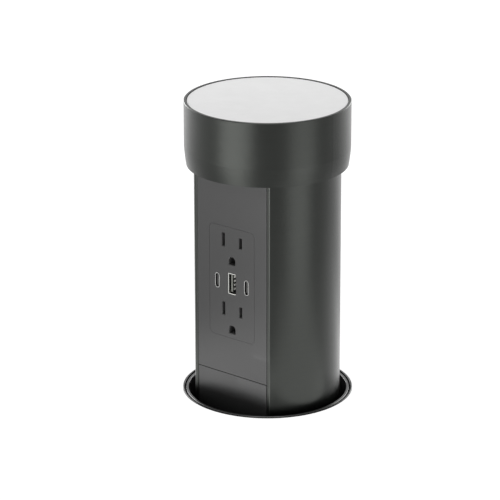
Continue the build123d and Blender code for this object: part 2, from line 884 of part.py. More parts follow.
tilt = radians(hook_open_angle)
hook_plane = Plane(
    origin=(latch_x - hook_width / 2, pivot_y, pivot_z),
    x_dir=(0, cos(tilt), -sin(tilt)),
    z_dir=(1, 0, 0),
)
nose_low = nose_bottom - pivot_z
nose_tip = -(pivot_offset + striker_thickness / 2 - (striker_thickness - hook_catch))
with BuildPart() as latch_hook:
    with BuildSketch(hook_plane):
        Circle(hook_boss_r)
        with BuildLine():
            Polyline(
                (-hook_arm / 2, 0),
                (-hook_arm / 2, nose_low),
                (nose_tip, nose_low),
                (nose_tip, nose_low + hook_nose / 2),
                (-hook_arm / 2, nose_low + hook_nose),
                (hook_arm / 2, nose_low + hook_nose),
                (hook_arm / 2, 0),
                close=True,
            )
        make_face()
        Circle(pivot_r + shaft_gap, mode=Mode.SUBTRACT)
    extrude(amount=hook_width)
save(latch_hook, "latch_hook")


def coil(centre, direction, radius, wire_r, length, turns):
    """A wound wire spring that runs from centre along direction."""
    with BuildPart() as made:
        with BuildLine() as path:
            Helix(length / turns, length, radius, center=centre, direction=direction)
        with BuildSketch(Plane(origin=path.line @ 0, z_dir=path.line % 0)):
            Circle(wire_r)
        sweep(is_frenet=True)
    return made.part


with BuildPart() as latch_spring:
    spring_start = (
        latch_x + hook_width / 2 + 2 * torsion_wire_r,
        pivot_y,
        pivot_z,
    )
    torsion_length = bracket_gap - 4 * torsion_wire_r
    add(coil(spring_start, (1, 0, 0), torsion_r, torsion_wire_r, torsion_length, torsion_turns))
save(latch_spring, "latch_spring")

with BuildPart() as latch_screws:
    seats = base_bottom + m3_head_height + counterbore_gap
    with Locations(*[flip((x, y, seats)) for x, y in bracket_spots]):
        add(screw(m3, latch_screw_length, m3_head, m3_head_height))
save(latch_screws, "latch_screws")

# Cable gland in the base: body, locknut inside, seal and domed nut outside
gland_r = lead_r + gland_wall
gland_neck = base_bottom - gland_flange_height
gland_end = gland_neck - gland_nut_height
gland_inner_r = gland_nut_r - gland_wall
with BuildPart() as gland_body:
    with BuildSketch(Plane.XY.offset(gland_neck)):
        with Locations((gland_x, gland_y)):
            RegularPolygon(gland_flange_r, 6)
    extrude(amount=gland_flange_height)
    with BuildSketch(Plane.XY.offset(base_bottom)):
        with Locations((gland_x, gland_y)):
            Circle(gland_r)
    extrude(amount=base_thickness + locknut_height + gland_wall)
    with Locations((gland_x, gland_y, base_bottom)):
        Cylinder(lead_r, through, mode=Mode.SUBTRACT)
save(gland_body, "gland_body")

with BuildPart() as gland_locknut:
    with BuildSketch(Plane.XY.offset(base_top)):
        with Locations((gland_x, gland_y)):
            RegularPolygon(gland_flange_r, 6)
            Circle(gland_r + shaft_gap, mode=Mode.SUBTRACT)
    extrude(amount=locknut_height)
save(gland_locknut, "gland_locknut")

with BuildPart() as gland_nut:
    with BuildSketch(Plane.XY.offset(gland_neck)):
        with Locations((gland_x, gland_y)):
            Circle(gland_nut_r)
    extrude(amount=-gland_nut_height)
    fillet(gland_nut.faces().sort_by(Axis.Z)[0].edges(), gland_dome_r)
    with BuildSketch(Plane.XY.offset(gland_neck)):
        with Locations((gland_x, gland_y)):
            Circle(gland_inner_r)
    extrude(amount=gland_nut_lip - gland_nut_height, mode=Mode.SUBTRACT)
    with Locations((gland_x, gland_y, gland_neck)):
        Cylinder(lead_r, through, mode=Mode.SUBTRACT)
save(gland_nut, "gland_nut")

with BuildPart() as gland_seal:
    with BuildSketch(Plane.XY.offset(gland_end + gland_nut_lip)):
        with Locations((gland_x, gland_y)):
            Circle(gland_inner_r - seat_gap)
            Circle(lead_r, mode=Mode.SUBTRACT)
    extrude(amount=gland_seal_height)
save(gland_seal, "gland_seal")


def ground_outline(extra=0.0):
    """The ground hole's outline about its own centre: flat below and round above."""
    half = ground_width / 2 + extra
    low = -ground_height / 2 - extra
    spring_line = ground_height / 2 + extra - half
    with BuildSketch() as outline:
        with BuildLine():
            Polyline((-half, spring_line), (-half, low), (half, low), (half, spring_line))
            ThreePointArc((half, spring_line), (0, spring_line + half), (-half, spring_line))
        make_face()
    return outline.sketch


def port_spots():
    """Centres of the three charging ports on the face: the wide one, then the two small ones."""
    return (usb_a_x, usb_z), [(-usb_c_x, usb_z), (usb_c_x, usb_z)]


# Receptacle face: flush with the face plate, its flange clamps behind it
with BuildPart() as receptacle_face:
    with BuildSketch(front(0)):
        with Locations((0, face_z)):
            RectangleRounded(face_width, face_height, face_r)
    extrude(amount=-flange_depth)
    with BuildSketch(front(plate_thickness)):
        with Locations((0, face_z)):
            RectangleRounded(
                body_width + 2 * face_lip_side, body_height + 2 * face_lip_end, face_r + face_lip_side
            )
    extrude(amount=-face_flange_thickness)
    with BuildSketch(front(0)):
        for outlet_z in outlets.values():
            with Locations((neutral_x, outlet_z)):
                Rectangle(slot_width, neutral_slot)
            with Locations((hot_x, outlet_z)):
                Rectangle(slot_width, hot_slot)
            with Locations((0, outlet_z - ground_drop)):
                add(ground_outline())
        wide, small = port_spots()
        with Locations(wide):
            RectangleRounded(
                usb_a_width + 2 * port_gap, usb_a_height + 2 * port_gap, usb_a_r + port_gap
            )
        with Locations(*small):
            SlotOverall(usb_c_height + 2 * port_gap, usb_c_width + 2 * port_gap, rotation=90)
    extrude(amount=-flange_depth, mode=Mode.SUBTRACT)
    mouths = receptacle_face.faces().filter_by(Axis.Y).sort_by(Axis.Y)[0].inner_wires()
    slot_mouths = [wire for wire in mouths if abs((wire.bounding_box().center()).Z - usb_z) > usb_a_r * 2]
    chamfer([edge for wire in slot_mouths for edge in wire.edges()], slot_chamfer)
save(receptacle_face, "receptacle_face")

# Receptacle body: pockets for the contacts, the shutters and the charging board
bus_half = bus_width / 2 + pocket_margin
leaf_half = leaf_height / 2 + pocket_margin
ground_half = ground_leaf_r + leaf_thickness + pocket_margin
shutter_left = neutral_x - shutter_cover
shutter_right = hot_x + shutter_cover + shutter_tail
pocket_right = shutter_right + spring_room
pocket_left = shutter_left - pocket_margin
shutter_half = shutter_height / 2 + pocket_margin
body_screw_spots = [
    (x, face_z + z)
    for x in (-body_width / 2 + body_screw_margin, body_width / 2 - body_screw_margin)
    for z in (-body_height / 2 + body_screw_margin, body_height / 2 - body_screw_margin)
]
bus_low = outlets["lower"] - leaf_height / 2
bus_high = outlets["upper"] + leaf_height / 2
ground_low = outlets["lower"] - ground_drop - ground_leaf_r
ground_high = outlets["upper"] - ground_drop + ground_leaf_r
terminal_length = body_width / 2 - hot_x - bus_width / 2 - shaft_gap
with BuildPart() as receptacle_body:
    with BuildSketch(front(flange_depth)):
        with Locations((0, face_z)):
            RectangleRounded(body_width, body_height, face_r / 2)
    extrude(amount=-body_depth)
    for outlet_z in outlets.values():
        with BuildSketch(front(flange_depth)):
            with Locations(((pocket_left + pocket_right) / 2, outlet_z)):
                Rectangle(pocket_right - pocket_left, 2 * shutter_half)
        extrude(amount=-shutter_pocket_depth, mode=Mode.SUBTRACT)
        with BuildSketch(front(flange_depth)):
            with Locations((neutral_x, outlet_z), (hot_x, outlet_z)):
                Rectangle(2 * bus_half, 2 * leaf_half)
            with Locations((0, outlet_z - ground_drop)):
                Rectangle(2 * ground_half, 2 * ground_half)
        extrude(amount=-body_depth, mode=Mode.SUBTRACT)
    with BuildSketch(front(body_back)):
        for x in (neutral_x, hot_x):
            with Locations((x, (bus_low + bus_high) / 2)):
                Rectangle(2 * bus_half, bus_high - bus_low)
        with Locations((0, (ground_low + ground_high) / 2)):
            Rectangle(bus_width, ground_high - ground_low)
    extrude(amount=body_back - bus_front + pocket_margin, mode=Mode.SUBTRACT)
    with BuildSketch(front(flange_depth)):
        with Locations((0, usb_z)):
            Rectangle(board_width + 2 * pocket_margin, board_height + 2 * pocket_margin)
    extrude(
        amount=-(board_front + board_thickness + coil_depth + board_gap - flange_depth),
        mode=Mode.SUBTRACT,
    )
    with BuildSketch(front(flange_depth)):
        with Locations(*body_screw_spots):
            Circle(m3 + shaft_gap)
    extrude(amount=-body_depth, mode=Mode.SUBTRACT)
    for side in (-1, 1):
        for outlet_z in outlets.values():
            wall = Plane(
                origin=(side * body_width / 2, bus_front - face_y, outlet_z - terminal_drop),
                z_dir=(side, 0, 0),
            )
            with Locations(wall):
                Hole(m3 + shaft_gap, depth=terminal_length + shaft_gap)
save(receptacle_body, "receptacle_body")

with BuildPart() as receptacle_back:
    with BuildSketch(front(body_back)):
        with Locations((0, face_z)):
            RectangleRounded(body_width, body_height, face_r / 2)
        with Locations(*body_screw_spots):
            Circle(m3 + screw_gap, mode=Mode.SUBTRACT)
    extrude(amount=-back_thickness)
save(receptacle_back, "receptacle_back")

# Strap: a steel bridge behind the body, with an ear at each end screwed to the face plate
ear_depth = plate_thickness + strap_boss_height
strap_half = body_height / 2 + seat_gap + strap_thickness
with BuildPart() as receptacle_strap:
    with BuildSketch(Plane.YZ.offset(-strap_width / 2)):
        with BuildLine():
            inner = strap_half - strap_thickness
            ear = strap_screw_spacing / 2 + strap_ear / 2
            y_ear = ear_depth - face_y
            y_back = strap_back - face_y
            Polyline(
                (y_ear, face_z + ear),
                (y_ear, face_z + inner),
                (y_back, face_z + inner),
                (y_back, face_z - inner),
                (y_ear, face_z - inner),
                (y_ear, face_z - ear),
                (y_ear + strap_thickness, face_z - ear),
                (y_ear + strap_thickness, face_z - strap_half),
                (y_back + strap_thickness, face_z - strap_half),
                (y_back + strap_thickness, face_z + strap_half),
                (y_ear + strap_thickness, face_z + strap_half),
                (y_ear + strap_thickness, face_z + ear),
                close=True,
            )
        make_face()
    extrude(amount=strap_width)
    with BuildSketch(front(ear_depth)):
        with Locations(*strap_spots):
            Circle(m3 + screw_gap)
    extrude(amount=-strap_thickness, mode=Mode.SUBTRACT)
save(receptacle_strap, "receptacle_strap")

with BuildPart() as strap_screws:
    ear_back = ear_depth + strap_thickness - face_y
    with Locations(*[Plane(origin=(x, ear_back, z), z_dir=(0, 1, 0)) for x, z in strap_spots]):
        add(screw(m3, strap_screw_length, m3_head, m3_head_height))
save(strap_screws, "strap_screws")

with BuildPart() as receptacle_screws:
    back_y = strap_back - face_y
    with Locations(*[Plane(origin=(x, back_y, z), z_dir=(0, 1, 0)) for x, z in body_screw_spots]):
        add(screw(m3, back_thickness + body_depth, m3_head - screw_gap, m3_head_height))
save(receptacle_screws, "receptacle_screws")


def blade_contacts(x):
    """Spring leaves on both sides of the two blades in line, on one bus bar."""
    with BuildPart() as made:
        for outlet_z in outlets.values():
            for side in (-1, 1):
                leaf_x = x + side * (blade_gap + leaf_thickness) / 2
                with BuildSketch(front(contact_front)):
                    with Locations((leaf_x, outlet_z)):
                        Rectangle(leaf_thickness, leaf_height)
                extrude(amount=-leaf_length)
        with BuildSketch(front(bus_front)):
            with Locations((x, (bus_low + bus_high) / 2)):
                Rectangle(bus_width, bus_high - bus_low)
        extrude(amount=-bus_thickness)
    return made.part


with BuildPart() as hot_contacts:
    add(blade_contacts(hot_x))
save(hot_contacts, "hot_contacts")

with BuildPart() as neutral_contacts:
    add(blade_contacts(neutral_x))
save(neutral_contacts, "neutral_contacts")

ground_front = bus_front + bus_thickness - ground_leaf_length
with BuildPart() as ground_contacts:
    for outlet_z in outlets.values():
        with BuildSketch(front(ground_front)):
            with Locations((0, outlet_z - ground_drop)):
                Circle(ground_leaf_r + leaf_thickness)
                Circle(ground_leaf_r, mode=Mode.SUBTRACT)
                Rectangle(leaf_thickness, 4 * ground_leaf_r, mode=Mode.SUBTRACT)
        extrude(amount=-ground_leaf_length)
    with BuildSketch(front(bus_front + bus_thickness)):
        with Locations((0, (ground_low + ground_high) / 2)):
            Rectangle(bus_width - 2 * pocket_margin, ground_high - ground_low)
    extrude(amount=-bus_thickness)
save(ground_contacts, "ground_contacts")

with BuildPart() as terminal_screws:
    for side in (-1, 1):
        for outlet_z in outlets.values():
            place = Plane(
                origin=(side * body_width / 2, bus_front - face_y, outlet_z - terminal_drop),
                z_dir=(side, 0, 0),
            )
            with Locations(place):
                add(screw(m3, terminal_length, terminal_head_r, terminal_head_height))
save(terminal_screws, "terminal_screws")


def shutter(outlet_z):
    """A slider behind the two slots: moved right, its window and its end free them."""
    with BuildPart() as made:
        with BuildSketch(front(flange_depth + seat_gap)):
            with Locations(((shutter_left + shutter_right) / 2, outlet_z)):
                Rectangle(shutter_right - shutter_left, shutter_height)
            with Locations((hot_x - shutter_travel, outlet_z)):
                Rectangle(
                    shutter_window, hot_slot + 2 * pocket_margin, mode=Mode.SUBTRACT
                )
        extrude(amount=-shutter_thickness)
    return made.part


def shutter_spring(outlet_z):
    """The coil that pushes a shutter back over its slots."""
    start = (
        shutter_right + shutter_wire_r + shaft_gap,
        flange_depth + seat_gap + shutter_thickness / 2 - face_y,
        outlet_z,
    )
    room = spring_room - 2 * shutter_wire_r - 2 * shaft_gap
    return coil(start, (1, 0, 0), shutter_spring_r, shutter_wire_r, room, shutter_spring_turns)


with BuildPart() as shutter_upper:
    add(shutter(outlets["upper"]))
save(shutter_upper, "shutter_upper")

with BuildPart() as shutter_lower:
    add(shutter(outlets["lower"]))
save(shutter_lower, "shutter_lower")

with BuildPart() as shutter_spring_upper:
    add(shutter_spring(outlets["upper"]))
save(shutter_spring_upper, "shutter_spring_upper")

with BuildPart() as shutter_spring_lower:
    add(shutter_spring(outlets["lower"]))
save(shutter_spring_lower, "shutter_spring_lower")

# Charging ports: metal shells that show at the face, tongues inside them, one board behind
wide_port, small_ports = port_spots()
with BuildPart() as usb_a_shell:
    with BuildSketch(front(-usb_proud)):
        with Locations(wide_port):
            RectangleRounded(usb_a_width, usb_a_height, usb_a_r)
            RectangleRounded(
                usb_a_width - 2 * usb_a_wall,
                usb_a_height - 2 * usb_a_wall,
                usb_a_r - usb_a_wall,
                mode=Mode.SUBTRACT,
            )
    extrude(amount=-(usb_depth + usb_proud))
    # Its right side is set back, so that no bright edge shows there
    with BuildSketch(front(-usb_proud)):
        with Locations((usb_a_x + (usb_a_width - usb_a_wall) / 2, usb_z)):
            Rectangle(usb_a_wall, usb_a_height - 2 * usb_a_r)
    extrude(amount=-(side_setback + usb_proud), mode=Mode.SUBTRACT)
save(usb_a_shell, "usb_a_shell")

tongue_x = usb_a_x - tongue_a_shift
with BuildPart() as usb_a_tongue:
    with BuildSketch(front(tongue_a_inset)):
        with Locations((tongue_x, usb_z)):
            Rectangle(tongue_a_width, tongue_a_height)
    extrude(amount=-(usb_depth - tongue_a_inset))
save(usb_a_tongue, "usb_a_tongue")

with BuildPart() as usb_a_contacts:
    contact_x = tongue_x + (tongue_a_width + contact_thickness) / 2
    with BuildSketch(front(contact_inset)):
        with Locations((contact_x, usb_z)):
            with GridLocations(contact_thickness, contact_pitch, 1, contact_count):
                Rectangle(contact_thickness, contact_height)
    extrude(amount=-(usb_depth - contact_inset))
save(usb_a_contacts, "usb_a_contacts")

with BuildPart() as usb_c_shells:
    with BuildSketch(front(-usb_proud)):
        with Locations(*small_ports):
            SlotOverall(usb_c_height, usb_c_width, rotation=90)
            SlotOverall(
                usb_c_height - 2 * usb_c_wall,
                usb_c_width - 2 * usb_c_wall,
                rotation=90,
                mode=Mode.SUBTRACT,
            )
    extrude(amount=-(usb_depth + usb_proud))
save(usb_c_shells, "usb_c_shells")

with BuildPart() as usb_c_tongues:
    with BuildSketch(front(tongue_c_inset)):
        with Locations(*small_ports):
            Rectangle(tongue_c_width, tongue_c_height)
    extrude(amount=-(usb_depth - tongue_c_inset))
save(usb_c_tongues, "usb_c_tongues")

with BuildPart() as charger_board:
    with BuildSketch(front(board_front)):
        with Locations((0, usb_z)):
            Rectangle(board_width, board_height)
    extrude(amount=-board_thickness)
save(charger_board, "charger_board")

with BuildPart() as charger_parts:
    with BuildSketch(front(board_front + board_thickness)):
        with Locations((0, usb_z)):
            RectangleRounded(coil_side, coil_side, usb_a_r)
    extrude(amount=-coil_depth)
    with BuildSketch(front(board_front + board_thickness)):
        with Locations((-can_offset, usb_z), (can_offset, usb_z)):
            Circle(can_r)
    extrude(amount=-can_depth)
save(charger_parts, "charger_parts")
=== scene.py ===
"""A pop up desk socket: the finishes, the pale insert and the studio round the built model."""

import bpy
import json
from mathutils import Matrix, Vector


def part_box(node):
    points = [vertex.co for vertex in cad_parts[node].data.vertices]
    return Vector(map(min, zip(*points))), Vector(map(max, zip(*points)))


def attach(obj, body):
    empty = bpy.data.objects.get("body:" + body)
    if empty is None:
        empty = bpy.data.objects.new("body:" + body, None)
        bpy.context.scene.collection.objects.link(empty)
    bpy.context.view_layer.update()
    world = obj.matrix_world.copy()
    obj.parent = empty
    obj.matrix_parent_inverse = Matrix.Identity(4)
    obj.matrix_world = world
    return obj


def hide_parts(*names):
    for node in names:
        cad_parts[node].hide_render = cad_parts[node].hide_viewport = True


bl_info = {
    "name": "Pop Up Desk Socket",
    "version": (1, 0, 0),
    "blender": (4, 5, 0),
    "location": "3D View > Sidebar > Desk Socket",
    "description": "Finishes a pop up desk socket and sets it in a white studio",
    "category": "Add Mesh",
}

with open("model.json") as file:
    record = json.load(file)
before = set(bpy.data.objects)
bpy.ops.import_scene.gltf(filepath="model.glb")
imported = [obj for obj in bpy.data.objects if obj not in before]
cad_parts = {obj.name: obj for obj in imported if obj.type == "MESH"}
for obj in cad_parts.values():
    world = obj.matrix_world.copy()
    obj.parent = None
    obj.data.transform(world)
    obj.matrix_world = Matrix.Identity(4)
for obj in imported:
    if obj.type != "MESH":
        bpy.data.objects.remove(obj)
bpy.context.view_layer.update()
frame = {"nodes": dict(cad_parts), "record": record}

import json
from math import cos, pi, radians, sin, tau

import bmesh
import bpy
from bpy.props import FloatProperty, FloatVectorProperty, IntProperty, PointerProperty
from mathutils import Vector

MM = 0.001
SHARP_ANGLE = radians(32)
FILLET_STEPS = 6
FLOOR_SEGMENTS = 128

# The countertop is plain to bounced light; to the eye, a glow and a dim surface add up to white
FLOOR_PLAIN = (0.8, 0.8, 0.8, 1.0)
FLOOR_DIM = (0.22, 0.22, 0.22, 1.0)
FLOOR_GLOW = 0.86
WHITE = (1.0, 1.0, 1.0, 1.0)

# Grains: how often a noise repeats over a metre, along X, Y and Z
TURNED = (25.0, 25.0, 3000.0)
TURNED_COLLAR = (30.0, 30.0, 2500.0)
TURNED_RIM = (30.0, 30.0, 4000.0)
GROUND_ROD = (60.0, 60.0, 2600.0)
DRAWN_TUBE = (1800.0, 1800.0, 12.0)
DRAWN_SHELL = (300.0, 3000.0, 300.0)
STAMPED = (400.0, 2600.0, 400.0)

# How rough each finish is, and how strongly it mirrors straight on
SATIN_ROUGHNESS = 0.32
SATIN_GLOSS = 0.3
PAINT_ROUGHNESS = 0.36
PAINT_GLOSS = 0.55
STONE_GLOSS = 0.2

# The column's lips are painted lighter than the rest of its metal, as painted light, and their
# rounded corners lighter still, as a painted highlight
LIP_PAINTED_LIGHT = 1.45
CORNER_PAINTED_HIGHLIGHT = 1.9
CORNER_DEPTH = 0.2 * MM

# A mask on a front face reaches this far behind it
FACE_DEPTH = 0.03 * MM
SLOT_DEPTH = 0.15 * MM
TIP_DEPTH = 0.1 * MM

# The cards lie just over the countertop, and to one side of the ray that leaves the tower's axis
CARD_LIFT = 2 * MM
CARD_ASIDE = 17.5 * MM

# Powers as shares of the far card's, or of the right lamp's
NEAR_KEY_SHARE = 0.036
NEAR_FILL_SHARE = 0.08927
LEFT_RIM_SHARE = 1.25

# The lamps aim at this height of the tower's axis
AIM_HEIGHT = 0.1


class Signal:
    """A socket of a node tree that takes part in sums like a number."""

    def __init__(self, graph, socket):
        self.graph = graph
        self.socket = socket

    def sum(self, operation, first, second):
        return self.graph.node("Math", {"operation": operation}, {0: first, 1: second})

    def __add__(self, other):
        return self.sum("ADD", self, other)

    __radd__ = __add__

    def __sub__(self, other):
        return self.sum("SUBTRACT", self, other)

    def __rsub__(self, other):
        return self.sum("SUBTRACT", other, self)

    def __mul__(self, other):
        return self.sum("MULTIPLY", self, other)

    __rmul__ = __mul__

    def __gt__(self, other):
        return self.sum("GREATER_THAN", self, other)

    def __lt__(self, other):
        return self.sum("LESS_THAN", self, other)


class Graph:
    """The node tree of a material or of the world, and the one method that adds nodes to it."""

    def __init__(self, owner):
        owner.use_nodes = True
        self.nodes = owner.node_tree.nodes
        self.links = owner.node_tree.links
        self.nodes.clear()

    def node(self, kind, settings=None, sockets=None, output=0):
        """Adds a node, sets it up, feeds its sockets, and gives back one of its outputs."""
        made = self.nodes.new("ShaderNode" + kind)
        for name, value in (settings or {}).items():
            setattr(made, name, value)
        for name, value in (sockets or {}).items():
            if isinstance(value, Signal):
                self.links.new(value.socket, made.inputs[name])
            else:
                made.inputs[name].default_value = value
        return Signal(self, made.outputs[output]) if made.outputs else made

    def places(self):
        """The piece's own coordinates, in metres."""
        return self.node("TexCoord", output="Object")

    def along(self, axis):
        """One of the piece's own coordinates: X, Y or Z."""
        return self.node("SeparateXYZ", None, {0: self.places()}, axis)

    def noise(self, scale, detail=2.0, roughness=0.5):
        """Noise of a piece's own coordinates; scale is one number, or one for each axis."""
        each = scale if hasattr(scale, "__len__") else (scale,) * 3
        stretched = self.node("Mapping", None, {"Vector": self.places(), "Scale": each})
        sockets = {"Vector": stretched, "Scale": 1.0, "Detail": detail, "Roughness": roughness}
        return self.node("TexNoise", None, sockets)

    def tint(self, tone, colour, spread):
        """A colour that a tone makes lighter or darker by up to a spread."""
        return self.blend(tone, shade(colour, 1 - spread), shade(colour, 1 + spread))

    def blend(self, factor, low, high):
        """A colour between two others."""
        return self.node("Mix", {"data_type": "RGBA"}, {0: factor, 6: low, 7: high}, 2)

    def bump(self, height, depth, strength=1.0):
        """A normal bent by a height, whose full range is depth metres."""
        return self.node("Bump", None, {"Height": height, "Distance": depth, "Strength": strength})


def shade(colour, level):
    """A colour made lighter or darker, with its alpha."""
    return tuple(min(1.0, part * level) for part in colour[:3]) + (1.0,)


FINISHES = {}


def finish(name, sockets_of, metallic=0.0, settings=None):
    """A material whose surface is one Principled shader; sockets_of gives its varying sockets."""
    if name in FINISHES:
        return FINISHES[name]
    made = FINISHES[name] = bpy.data.materials.new(name)
    graph = Graph(made)
    sockets = {"Metallic": metallic, **(settings or {}), **sockets_of(graph)}
    surface = graph.node("BsdfPrincipled", None, sockets)
    graph.node("OutputMaterial", None, {"Surface": surface})
    return made


def satin(graph, colour, grain, roughness=SATIN_ROUGHNESS):
    """The varying sockets of satin anodising: fine streaks, faint clouds and a fine grit."""
    streak = graph.noise(grain, detail=3.0, roughness=0.6)
    cloud = graph.noise(35.0)
    grit = graph.noise(5200.0, detail=1.0)
    return {
        "Base Color": graph.tint(streak * 0.7 + cloud * 0.3, colour, spread=0.1),
        "Roughness": roughness + (cloud - 0.5) * 0.05 + (streak - 0.5) * 0.06,
        "Normal": graph.bump(streak * 0.9 + grit * 0.1, depth=0.05 * MM),
    }


def anodised(name, colour, grain, roughness=SATIN_ROUGHNESS):
    """Satin anodised metal: fine streaks along the way it was drawn, turned or brushed."""

    def sockets(graph):
        return satin(graph, colour, grain, roughness)

    return finish(name, sockets, 1.0, {"Specular IOR Level": SATIN_GLOSS})


def painted(name, colour, inner=None, plane=0.0):
    """Satin paint with a fine pebbled grain; behind a plane, lighter bare plastic shows in the
    slots, and its lightness also paints the light falling into them.
    """

    def sockets(graph):
        grain = graph.noise(1600.0, roughness=0.6)
        cloud = graph.noise(28.0)
        base = graph.tint(cloud * 0.6 + grain * 0.4, colour, spread=0.07)
        if inner:
            base = graph.blend(graph.along("Y") > plane, base, inner)
        return {
            "Base Color": base,
            "Roughness": PAINT_ROUGHNESS + (cloud - 0.5) * 0.06,
            "Normal": graph.bump(grain, depth=0.01 * MM),
        }

    return finish(name, sockets, settings={"Specular IOR Level": PAINT_GLOSS})


def anodised_painted_edges(name, colour, plane):
    """The column's metal, with painted light on its lips and a painted highlight on their rounded
    corners.
    """

    def sockets(graph):
        made = satin(graph, colour, TURNED)
        depth = graph.along("Y")
        # Painted highlight on the rounded corners, painted light on the flat lips
        corner = depth < plane + CORNER_DEPTH
        highlighted = graph.blend(corner, made["Base Color"], shade(colour, CORNER_PAINTED_HIGHLIGHT))
        made["Base Color"] = graph.blend(depth < plane, highlighted, shade(colour, LIP_PAINTED_LIGHT))
        return made

    return finish(name, sockets, 1.0, {"Specular IOR Level": SATIN_GLOSS})


def moulded(name, colour, roughness=0.5, grain=2600.0, depth=0.02):
    """Moulded plastic with a fine spark-eroded grain."""

    def sockets(graph):
        pits = graph.noise(grain, roughness=0.6)
        cloud = graph.noise(60.0)
        return {
            "Base Color": graph.tint(cloud, colour, spread=0.08),
            "Roughness": roughness + (pits - 0.5) * 0.12,
            "Normal": graph.bump(pits, depth * MM, strength=0.6),
        }

    return finish(name, sockets)


def moulded_shaded_sides(name, tip, side, plane):
    """Moulded plastic that is pale at its tip, before a plane, and dark along its sides as painted
    shade.
    """

    def sockets(graph):
        pits = graph.noise(2600.0, roughness=0.6)
        return {
            "Base Color": graph.blend(graph.along("Y") < plane, side, tip),
            "Roughness": 0.45 + (pits - 0.5) * 0.12,
            "Normal": graph.bump(pits, depth=0.02 * MM, strength=0.6),
        }

    return finish(name, sockets)


def metal(name, colour, roughness, grain, metallic=1.0):
    """Plain metal with the marks of its making: plated, drawn, ground or stamped."""

    def sockets(graph):
        marks = graph.noise(grain, detail=3.0, roughness=0.6)
        cloud = graph.noise(120.0, detail=3.0)
        return {
            "Base Color": graph.tint(cloud, colour, spread=0.06),
            "Roughness": roughness + (marks - 0.5) * 0.12 + (cloud - 0.5) * 0.08,
            "Normal": graph.bump(marks, depth=0.01 * MM, strength=0.5),
        }

    return finish(name, sockets, metallic)


def stone(name, colour, roughness):
    """Pale honed slab: soft clouds, fine grains and a few faint pits."""

    def sockets(graph):
        clouds = graph.noise(95.0, detail=4.0, roughness=0.6)
        grains = graph.noise(900.0, detail=3.0, roughness=0.7)
        return {
            "Base Color": graph.tint(clouds * 0.8 + grains * 0.2, colour, spread=0.06),
            "Roughness": roughness + (grains - 0.5) * 0.1,
            "Normal": graph.bump(grains * 0.7 + clouds * 0.3, depth=0.02 * MM, strength=0.4),
        }

    return finish(name, sockets, settings={"Specular IOR Level": STONE_GLOSS})


def rimmed(name, bright, dark, level, roughness):
    """Anodised metal that is turned bright above a level and black below it; the black is black
    anodising and painted shade of the deep well.
    """

    def sockets(graph):
        above = graph.along("Z") > level
        rings = graph.noise(TURNED_RIM)
        return {
            "Base Color": graph.blend(above, dark, bright),
            "Metallic": 0.2 + above * 0.8,
            "Roughness": roughness + (rings - 0.5) * 0.06 + (1 - above) * 0.2,
            "Normal": graph.bump(rings, depth=0.008 * MM, strength=0.4),
        }

    return finish(name, sockets)


def zinc_plate(colours):
    return metal("zinc_plate", colours.zinc, roughness=0.34, grain=900.0)


def spring_wire(colours):
    return metal("spring_wire", colours.spring, roughness=0.3, grain=1500.0)


def stamped_brass(colours):
    return metal("stamped_brass", colours.brass, roughness=0.3, grain=STAMPED)


def drawn_aluminium(colours):
    return metal("drawn_aluminium", colours.sleeve, roughness=0.38, grain=DRAWN_TUBE)


def black_moulding(colours):
    return moulded("black_moulding", colours.plastic)


def soft_rubber(colours):
    return moulded("soft_rubber", colours.rubber, roughness=0.7)


def dress(material, *nodes):
    """Gives built pieces a finish, in their own material slots."""
    for name in nodes:
        for slot in frame["nodes"][name].material_slots:
            slot.link = "OBJECT"
            slot.material = material


def add_piece(name, bm, material, body, replaces=()):
    """Turns a bmesh into a piece that rides on a body and wears a finish."""
    bmesh.ops.recalc_face_normals(bm, faces=bm.faces)
    mesh = bpy.data.meshes.new(name)
    bm.to_mesh(mesh)
    bm.free()
    mesh.shade_smooth()
    mesh.set_sharp_from_angle(angle=SHARP_ANGLE)
    mesh.materials.append(material)
    piece = bpy.data.objects.new(name, mesh)
    bpy.context.scene.collection.objects.link(piece)
    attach(piece, body)
    if replaces:
        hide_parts(*replaces)
    return piece


def spun(bm, profile, segments):
    """Spins an outline of (radius, height) points round Z, with one pole for a point on the axis.

    It adds the faces ring by ring, because welding a spin leaves them in a new order every run.
    """
    turns = [step * tau / segments for step in range(segments)]
    rings = []
    for radius, height in profile:
        if radius:
            places = [(radius * cos(turn), radius * sin(turn), height) for turn in turns]
            rings.append([bm.verts.new(place) for place in places])
        else:
            rings.append([bm.verts.new((0, 0, height))] * segments)
    for lower, upper in zip(rings, rings[1:]):
        for step in range(segments):
            corners = (lower[step - 1], lower[step], upper[step], upper[step - 1])
            bm.faces.new(tuple(dict.fromkeys(corners)))


class SocketSizes(bpy.types.PropertyGroup):
    """Sizes of what is made here, in metres."""

    insert_arris: FloatProperty(
        name="Insert arris", description="Rounding of the insert's upper edge",
        default=0.45 * MM, unit="LENGTH",
    )
    insert_segments: IntProperty(
        name="Insert segments", description="Sides of the insert's round", default=160,
    )
    rim_line: FloatProperty(
        name="Bright rim", description="Depth of the bright turned rim of the cup",
        default=0.35 * MM, unit="LENGTH",
    )
    floor_reach: FloatProperty(
        name="Floor reach", description="Radius of the countertop", default=6.0, unit="LENGTH",
    )
    floor_gap: FloatProperty(
        name="Floor gap", description="Gap between the countertop's hole and the collar",
        default=0.25 * MM, unit="LENGTH",
    )


